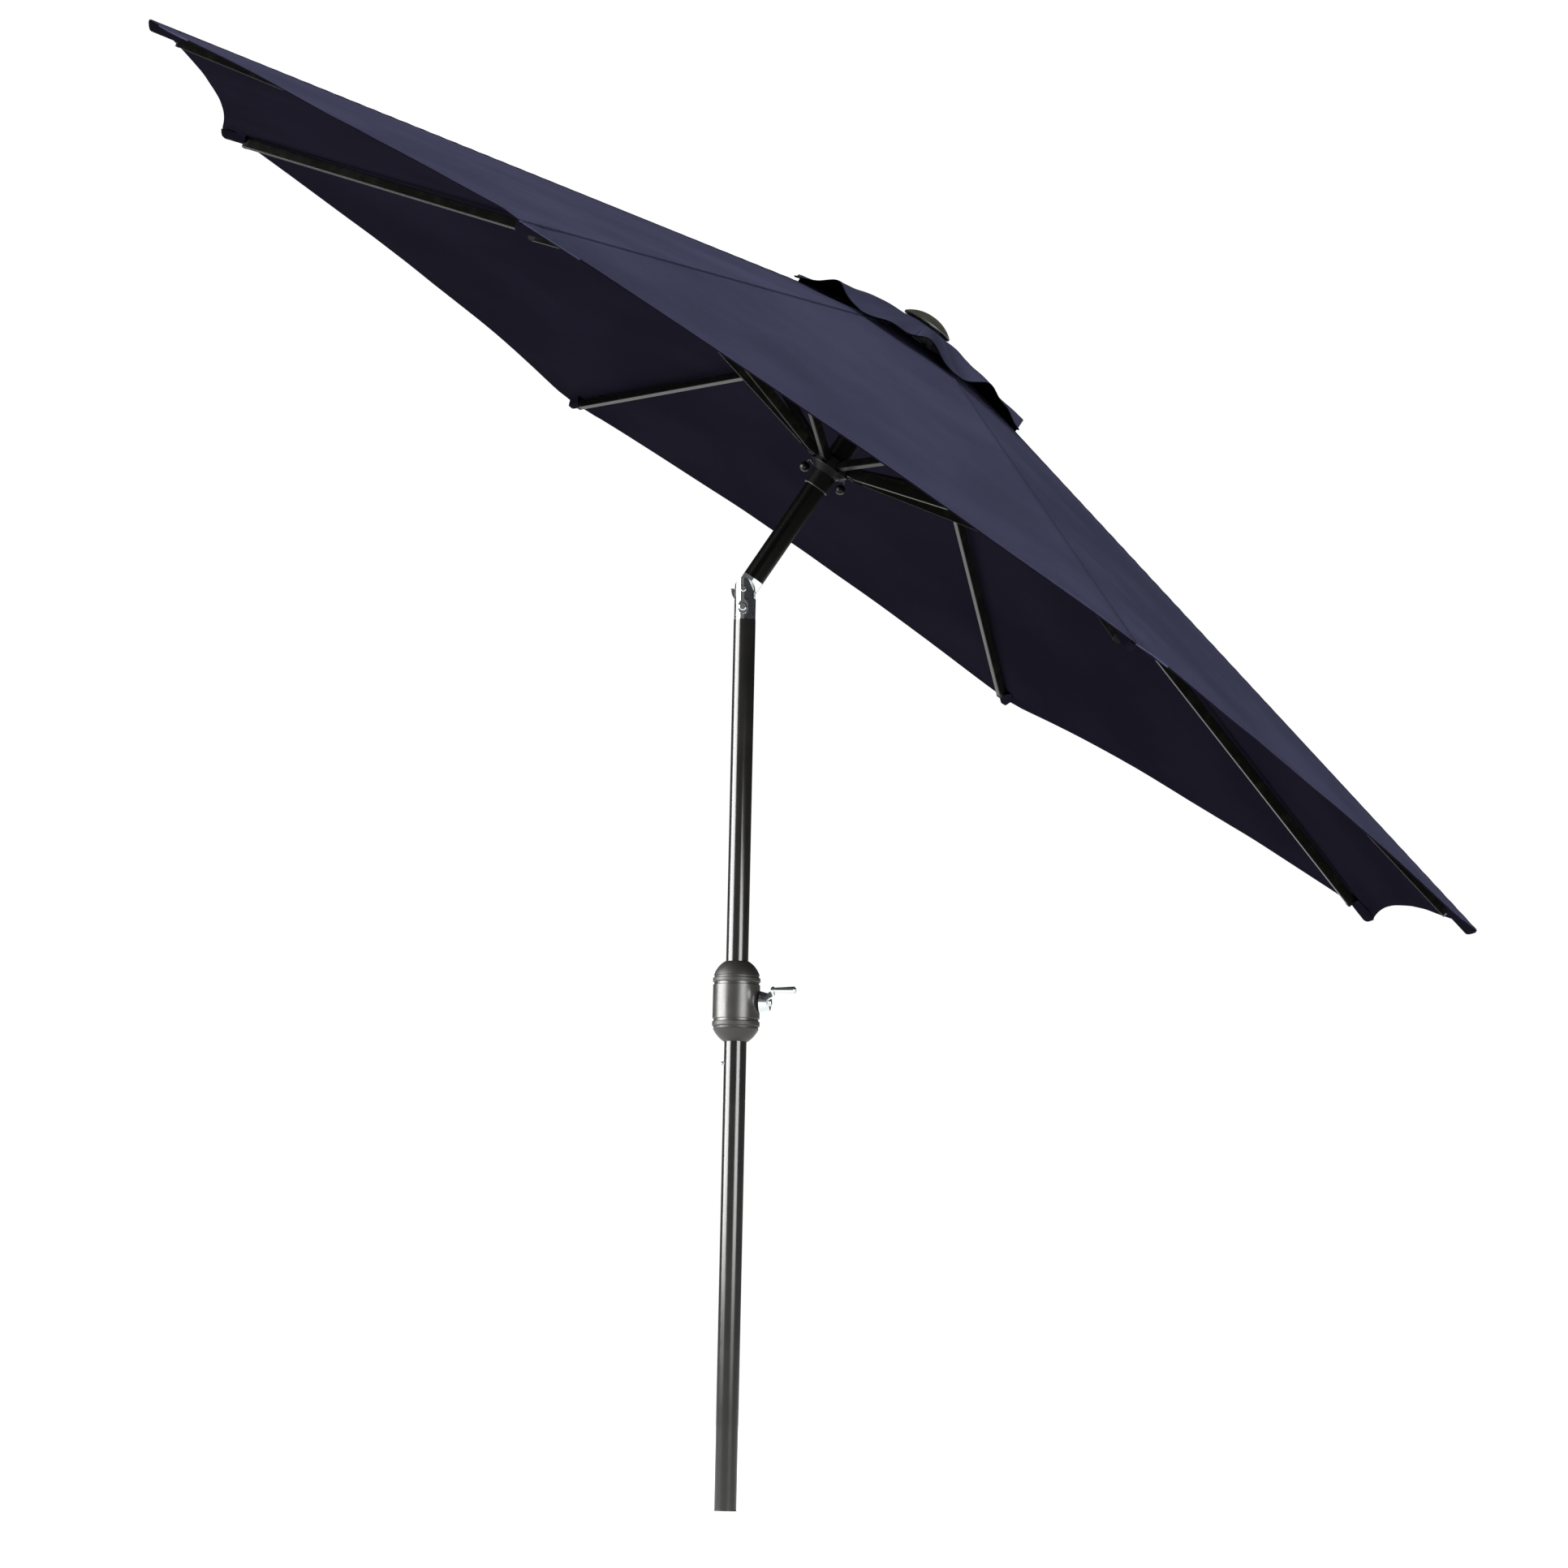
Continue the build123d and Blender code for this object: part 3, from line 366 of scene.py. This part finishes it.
# ---- runner ----
# A nylon hub with eight slots slides on the upper pole. A steel ring edges its collar, and two wire
# hooks carry glossy black balls.

satin_nylon = moulded("satin_nylon", (0.002, 0.002, 0.0018), 0.42, grain=1800, depth=0.06, gloss=1.15)
dress(satin_nylon, "runner_hub")
dress(blackened, "runner_ring", "hook_wires")
dress(zinc, "runner_pins")
ball_plastic = moulded("ball_plastic", (0.002, 0.002, 0.002), 0.36, grain=500, depth=0.02, gloss=1.25)
dress(ball_plastic, "hook_balls")

# ---- ribs and struts ----
# Rectangular steel tubes in olive-black paint, with black nylon fittings at their ends and, on each rib,
# a plated bracket that takes the strut.

slope = radians(13.9)
pivot_circle = 0.030
strut_length = 0.480
strut_fitting = 0.038
axis = head.to_3x3() @ Vector((0, 0, 1))


def painted_tube(name, gloss, fittings, bracket=None):
    """Painted tube whose ends, given along its length from the inner pivot, are black fittings."""
    material, shader, start = finish_of(name, {"IOR": gloss})
    place = start.node("TexCoord", output="Object")
    arm = start.node("VectorMath", {0: place, 1: head.translation}, operation="SUBTRACT")
    rise = start.node("VectorMath", {0: arm, 1: axis}, output="Value", operation="DOT_PRODUCT")
    along_axis = start.node("VectorMath", {0: axis, "Scale": rise}, operation="SCALE")
    outward = start.node("VectorMath", {0: arm, 1: along_axis}, operation="SUBTRACT")
    reach = start.node("VectorMath", {0: outward}, output="Value", operation="LENGTH")
    from_pivot = (reach - pivot_circle) * (1 / cos(slope))
    inner, outer = fittings
    edge = 0.0002
    fitting = 1 - from_pivot.between(inner - edge, inner + edge)
    fitting = fitting + from_pivot.between(outer - edge, outer + edge)
    scuffs = wear(start, 40, 5)
    paint = scuffs.between(0.45, 0.75).blend(colour(0.005, 0.005, 0.0038), colour(0.0105, 0.0105, 0.008))
    if bracket:
        clamp_half = 0.0066
        clamp = from_pivot.between(bracket - clamp_half - edge, bracket - clamp_half + edge)
        clamp = clamp - from_pivot.between(bracket + clamp_half - edge, bracket + clamp_half + edge)
        paint = clamp.blend(paint, colour(0.16, 0.16, 0.155))
    fitting.blend(paint, colour(0.003, 0.003, 0.003)).feeds(shader, "Base Color")
    (fitting * 0.16 + scuffs * 0.1 + 0.2).feeds(shader, "Roughness")
    start.node("Bump", {"Height": wear(start, 1100), "Strength": 0.07, "Distance": 0.0003}).feeds(
        shader, "Normal"
    )
    return material


rib_paint = painted_tube("rib_paint", 1.2, (0.0135, 1.3470), bracket=strut_length)
strut_paint = painted_tube("strut_paint", 1.12, (strut_fitting, strut_length - strut_fitting))
rib_numbers = range(1, 9)
for number in rib_numbers:
    dress(rib_paint, f"rib_{number}")
    dress(strut_paint, f"strut_{number}")

# ---- main canopy ----
# Eight panels of woven navy polyester, stitched together over the ribs, pulled taut and cut hollow at
# the hem, which is folded and stitched. Each piece here is the cloth that one rib carries.

half = radians(22.5)
canopy_radius = 1.404
apex = 0.531
crown_hole = 0.120
hollow = 0.042
cloth = 0.0012
hem_width = 0.020
hem_fold = 0.0005
first_rib = radians(-9.5)
panel_fall = tan(slope) / cos(half)
panel_middle = canopy_radius * cos(half)
hem_radius = ((canopy_radius * sin(half)) ** 2 + hollow**2) / (2 * hollow)
hem_centre = panel_middle - hollow + hem_radius


def round_to(number):
    """The angle from the first rib round to this one."""
    return 2 * half * (number - 1)


def wedge(number):
    """The head's frame turned to a rib."""
    return head @ Matrix.Rotation(first_rib + round_to(number), 4, "Z")


def rim_of(circle, angle):
    """Distance to the edge of an octagon with its corners on the ribs."""
    return circle * cos(half) / cos(half - abs(angle))


def hem_of(angle):
    """Distance to the canopy's hollow hem."""
    off = half - abs(angle)
    return hem_centre * cos(off) - math.sqrt(hem_radius**2 - (hem_centre * sin(off)) ** 2)


def panel_height(x, y, top, fall):
    """Height of a taut panel over a wedge whose rib runs along x."""
    return top - fall * (x * cos(half) + abs(y) * sin(half))


def slack(x, y, number):
    """How far the cloth leaves its taut shape: it stands off the ribs and puckers at a tip."""
    angle = math.atan2(y, x)
    reach = math.hypot(x, y)
    loose = sin(math.pi / 2 * abs(angle) / half) ** 2
    place = Matrix.Rotation(round_to(number), 3, "Z") @ Vector((x, y, 0))
    drift = 0.0035 * noise.noise(place * 3.1) + 0.0012 * noise.noise(place * 9.0)
    tip = math.hypot(canopy_radius - x, y)
    fan = math.atan2(abs(y), canopy_radius - x)
    side = 1 if y > 0 else -1
    pleat = 0.0042 * math.exp(-((tip / 0.17) ** 2)) * (1 - math.exp(-((tip / 0.035) ** 2)))
    pleat *= cos((10 + side) * fan + 0.7 * number + side) * (1 - math.exp(-((y / 0.016) ** 2)))
    stand_off = 0.003 + 0.010 * (1 - reach / canopy_radius)
    return loose * drift + pleat + stand_off


def cloth_of(shape, point, rows, columns):
    """Lay a grid over a wedge: point(u, v) goes out from the crown, u 0 to 1, and across, v -1 to 1."""
    bmesh.ops.create_grid(shape, x_segments=rows, y_segments=columns, size=1)
    for vert in shape.verts:
        vert.co = point((vert.co.x + 1) / 2, vert.co.y)
    bmesh.ops.recalc_face_normals(shape, faces=shape.faces)
    if sum(face.normal.z for face in shape.faces) < 0:
        bmesh.ops.reverse_faces(shape, faces=shape.faces)


canopy_rows = 66


def canopy_point(number):
    hem_rows = (0.0, 0.0012, 0.010, 0.0188, 0.0202, 0.034, 0.056)

    def point(u, v):
        angle = v * half
        inner, outer = rim_of(crown_hole, angle), hem_of(angle)
        row = round((1 - u) * canopy_rows)
        if row < len(hem_rows):
            reach = outer - hem_rows[row]
        else:
            share = (row - len(hem_rows) + 1) / (canopy_rows - len(hem_rows) + 1)
            reach = (outer - hem_rows[-1]) * (1 - share) + inner * share
        x, y = reach * cos(angle), reach * sin(angle)
        return Vector((x, y, panel_height(x, y, apex, panel_fall) + slack(x, y, number)))

    return point


thread_pitch = 0.0009
stitch_pitch = 0.0035


def fabric(name, dye_and_shade, stitch_rows=()):
    """Woven polyester: fine threads in its own UV directions, slow random tone changes and stitched edges
    whose lines are darkened as painted shade in the stitch groove. The colour given is the cloth's own dye
    for a top face, and a darkened copy as painted shade for an underside.
    """
    material, shader, start = finish_of(name, {"Specular IOR Level": 0.0})
    threads = start.node("UVMap", uv_map="weave")
    warp_way = start.node("SeparateXYZ", {0: threads}, output="X")
    weft_way = start.node("SeparateXYZ", {0: threads}, output="Y")
    thread_turns = 2 * math.pi / thread_pitch
    warp = (warp_way * thread_turns).maths("SINE")
    weft = (weft_way * thread_turns).maths("SINE")
    weave = warp * weft
    slubs = start.node("TexNoise", {"Vector": threads, "Scale": 420, "Detail": 2}, output="Fac")
    clouds = wear(start, 3.5, 4)
    dark = [0.8 * part for part in dye_and_shade]
    light = [1.14 * part for part in dye_and_shade]
    tone = clouds.between(0.3, 0.75).blend(colour(*dark), colour(*light))
    worn = (slubs * 0.5 + weave * 0.12).between(0.1, 0.5)
    tone = (worn * 0.35).blend(tone, colour(*[1.5 * part for part in dye_and_shade]))
    height = weave * 0.3 + slubs * 0.5
    for edge, offset in stitch_rows:
        distance = start.node("Attribute", output="Fac", attribute_name=edge)
        line = 1 - (distance - offset).maths("ABSOLUTE").between(0.0003, 0.0009)
        dash = (warp_way * (2 * math.pi / stitch_pitch)).maths("SINE").between(-0.6, -0.2)
        # Along each stitch row the cloth is darkened as painted shade in the groove the stitches pull, and
        # the dashes are the lighter thread.
        tone = (line * 0.75).blend(tone, colour(*[0.45 * part for part in dye_and_shade]))
        tone = (line * dash * 0.5).blend(tone, colour(*[1.9 * part for part in dye_and_shade]))
        height = height + line * dash * 1.6 - line * 0.8
    tone.feeds(shader, "Base Color")
    (slubs * 0.1 + 0.8).feeds(shader, "Roughness")
    start.node("Bump", {"Height": height, "Strength": 0.35, "Distance": 0.0003}).feeds(shader, "Normal")
    return material


navy = (0.0756, 0.078, 0.139)
# The underside's colour is the top's navy made about nine to ten times darker: painted shade under the
# canopy.
under_dye_painted_shade = (0.0085, 0.0075, 0.0135)
stitching = (("to_hem", hem_width - 0.0025), ("to_hem", 0.0025), ("to_seam", 0.0075))
canopy_top = fabric("canopy_top", navy, stitching)
canopy_under_painted_shade = fabric("canopy_under_painted_shade", under_dye_painted_shade, stitching)


def note_weave(piece, number, frame_there, edges):
    """Give a cloth piece its UV in metres, square to its panel, and its distances to its edges."""
    mesh = piece.data
    back = frame_there.inverted()
    places = [back @ vert.co for vert in mesh.vertices]
    weave = mesh.uv_layers.new(name="weave")
    for face in mesh.polygons:
        square = Matrix.Rotation(math.copysign(half, -(back @ face.center).y), 2)
        for corner in face.loop_indices:
            weave.data[corner].uv = square @ places[mesh.loops[corner].vertex_index].xy
    for name, distance in edges.items():
        layer = mesh.attributes.new(name, "FLOAT", "POINT")
        layer.data.foreach_set("value", [distance(p) for p in places])


def finish_cloth(shape, number, hem_distance, width, fold):
    """Give the laid cloth its thickness and its folded hem, and put it in its place."""
    bmesh.ops.solidify(shape, geom=shape.faces[:], thickness=cloth)
    shape.normal_update()
    for vert in shape.verts:
        if hem_distance(vert.co) < width - 0.0005 and abs(vert.normal.z) > 0.2:
            vert.co.z += math.copysign(fold, vert.normal.z)
    for face in shape.faces:
        # Faces turned down take the second material, the darkened underside copy that paints the shade under
        # the cloth.
        face.material_index = 1 if face.normal.z < 0 else 0
        face.smooth = abs(face.normal.z) > 0.3
    for edge in shape.edges:
        edge.smooth = len({face.smooth for face in edge.link_faces}) == 1
    bmesh.ops.transform(shape, matrix=wedge(number), verts=shape.verts)


def to_hem(place):
    return hem_of(math.atan2(place.y, place.x)) - math.hypot(place.x, place.y)


def to_seam(place):
    return abs(place.y)


for number in rib_numbers:
    shape = bmesh.new()
    cloth_of(shape, canopy_point(number), canopy_rows, 48)
    finish_cloth(shape, number, to_hem, hem_width, hem_fold)
    panel = new_piece(f"canopy_panel_{number}", shape, canopy_top, canopy_under_painted_shade)
    note_weave(panel, number, wedge(number), {"to_hem": to_hem, "to_seam": to_seam})
    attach(panel, f"rib_{number}")
    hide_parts(f"canopy_{number}")
    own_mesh(panel)

# ---- seams over the ribs ----
# Where two panels meet over a rib, their edges are turned together and felled flat, so a low welt of four
# layers runs from the crown to the tip with a row of stitches along each side. The welt's cloth is darker
# than the panels: painted shade along the seam.

seam_cloth_painted_shade = fabric("seam_cloth_painted_shade", [0.62 * part for part in navy], (("to_seam", 0.0022),))
seam_width = 0.008
seam_rise = 0.0014
seam_thick = 0.0011
pucker_pitch = 0.028
for number in rib_numbers:
    shape = bmesh.new()
    bmesh.ops.create_grid(shape, x_segments=90, y_segments=6, size=1)
    for vert in shape.verts:
        x = crown_hole + (canopy_radius - 0.002 - crown_hole) * (vert.co.x + 1) / 2
        y = vert.co.y * seam_width / 2 * (1 + 0.08 * noise.noise(Vector((x * 30, number, vert.co.y))))
        pucker = 0.0003 * sin(x * 2 * math.pi / pucker_pitch + number)
        rise = pucker + seam_rise * (1 - vert.co.y**4)
        vert.co = (x, y, panel_height(x, y, apex, panel_fall) + slack(x, y, number) + rise)
    bmesh.ops.recalc_face_normals(shape, faces=shape.faces)
    bmesh.ops.solidify(shape, geom=shape.faces[:], thickness=seam_thick)
    for face in shape.faces:
        face.smooth = True
    bmesh.ops.transform(shape, matrix=wedge(number), verts=shape.verts)
    seam = new_piece(f"canopy_seam_{number}", shape, seam_cloth_painted_shade)
    note_weave(seam, number, wedge(number), {"to_seam": to_seam})
    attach(seam, f"rib_{number}")

# ---- tip pockets ----
# A gusset of doubled cloth is sewn under each corner of the canopy. The rib's tip cap is pushed into it,
# which holds the canopy taut, and the gusset closes to a point beyond the cap.

cloth_above_pivots = 0.0266
crown_pivots_z = apex - pivot_circle * tan(slope) - cloth_above_pivots / cos(slope)
# The pockets take the underside's darkened colour: painted shade under the canopy.
pocket_cloth_painted_shade = fabric("pocket_cloth_painted_shade", under_dye_painted_shade, (("to_mouth", 0.004),))
mouth = canopy_radius - 0.060
cap_end = canopy_radius - 0.014
pocket_end = canopy_radius - 0.001
cap_half_width = 0.0046
cap_underside = 0.0136


def to_mouth(place):
    return place.x - mouth


for number in rib_numbers:
    shape = bmesh.new()
    bmesh.ops.create_grid(shape, x_segments=24, y_segments=26, size=1)
    for vert in shape.verts:
        along = (vert.co.x + 1) / 2
        x = mouth + (pocket_end - mouth) * along
        wide = 0.020 - 0.014 * along**2
        y = vert.co.y * wide
        under_cloth = panel_height(x, y, apex, panel_fall) + slack(x, y, number) - cloth - 0.0008
        under_cap = crown_pivots_z - (x - pivot_circle) * tan(slope) + cap_underside
        wall = min(1, max(0, (abs(y) - cap_half_width) / (wide - cap_half_width + 0.0002)))
        closing = min(1, max(0, (x - cap_end) / (pocket_end - cap_end)))
        drop = (1 - wall * wall * (3 - 2 * wall)) * (1 - closing**1.6)
        crease = 0.0009 * noise.noise(Vector((x * 45, y * 70, number))) * min(1, 4 * wall * (1 - wall) + 0.2)
        vert.co = (x, y, under_cloth + (under_cap - under_cloth) * drop - abs(crease))
    bmesh.ops.recalc_face_normals(shape, faces=shape.faces)
    bmesh.ops.solidify(shape, geom=shape.faces[:], thickness=0.0007)
    for face in shape.faces:
        face.smooth = True
    bmesh.ops.transform(shape, matrix=wedge(number), verts=shape.verts)
    pocket = new_piece(f"tip_pocket_{number}", shape, pocket_cloth_painted_shade)
    note_weave(pocket, number, wedge(number), {"to_mouth": to_mouth})
    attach(pocket, f"rib_{number}")

# ---- vent canopy ----
# A small cone of the same cloth covers the crown. It is held only at its eight corners, so its free
# hem lifts in an arch between the ribs and leaves openings that let the wind through.

vent_circle = 0.250
vent_top = 0.5564
vent_fall = 0.398
vent_hole = 0.029
vent_hem_width = 0.0115
vent_hem_fold = 0.0004
vent_rows = 30


def vent_rim(angle):
    return rim_of(vent_circle, angle) + 0.003 * (1 - abs(angle) / half) ** 5


def vent_point(number):
    hem_rows = (0.0, 0.0010, 0.006, 0.0112, 0.0124)

    def point(u, v):
        angle = v * half
        row = round((1 - u) * vent_rows)
        inner, outer = rim_of(vent_hole, angle), vent_rim(angle)
        if row < len(hem_rows):
            reach = outer - hem_rows[row]
        else:
            share = (row - len(hem_rows) + 1) / (vent_rows - len(hem_rows) + 1)
            reach = (outer - hem_rows[-1]) * (1 - share) + inner * share
        x, y = reach * cos(angle), reach * sin(angle)
        cone = vent_top - vent_fall * (x * cos(half) + abs(y) * sin(half) - 0.0277)
        open_out = (reach / vent_circle) ** 2
        middle = sin(math.pi / 2 * abs(v)) ** 2
        place = Matrix.Rotation(round_to(number), 3, "Z") @ Vector((x, y, 0))
        share_out = min(1, max(0, (reach - 0.03) / 0.09))
        bulge = 0.013 * share_out * share_out * (3 - 2 * share_out)
        folds = 0.011 * noise.noise(place * 13) + 0.0016 * noise.noise(place * 34)
        pinch = 0.009 * open_out * middle * sin(13 * (angle + round_to(number)) + 2.3)
        neighbour = (number - (angle < 0)) % 8
        arch = (0.027 + 0.010 * noise.noise(Vector((neighbour, 3.3, 7.1)))) * open_out * middle
        return Vector((x, y, cone + bulge + arch + pinch + folds * open_out * (0.25 + 0.75 * middle)))

    return point


def to_vent_hem(place):
    return vent_rim(math.atan2(place.y, place.x)) - math.hypot(place.x, place.y)


vent_stitching = (("to_hem", 0.0100),)
vent_cloth = fabric("vent_cloth", [0.92 * part for part in navy], vent_stitching)
# The vent's underside faces are near black: painted shade under the vent.
vent_under_painted_shade = fabric("vent_under_painted_shade", (0.006, 0.006, 0.0085), vent_stitching)
for number in rib_numbers:
    shape = bmesh.new()
    cloth_of(shape, vent_point(number), vent_rows, 40)
    finish_cloth(shape, number, to_vent_hem, vent_hem_width, vent_hem_fold)
    wing = new_piece(f"vent_wing_{number}", shape, vent_cloth, vent_under_painted_shade)
    note_weave(wing, number, wedge(number), {"to_hem": to_vent_hem})
    wedge(number) @ Vector((0.045, 0, apex))
    wedge(number) @ Vector((0.16, 0, apex))
    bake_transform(wing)
    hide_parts("vent_canopy")

# ---- finial ----
# A low dome of dark olive-grey plastic clamps the vent canopy on the crown.

finial_plastic, shader, start = finish_of("finial_plastic", {"IOR": 1.48})
place = start.node("TexCoord", output="Object")
shade = wear(start, 30, 4)
shade.between(0.35, 0.75).blend(colour(0.036, 0.038, 0.028), colour(0.068, 0.068, 0.05)).feeds(
    shader, "Base Color"
)
(shade * 0.15 + 0.42).feeds(shader, "Roughness")
start.node("Bump", {"Height": wear(start, 700), "Strength": 0.2, "Distance": 0.0004}).feeds(shader, "Normal")
dress(finial_plastic, "finial")
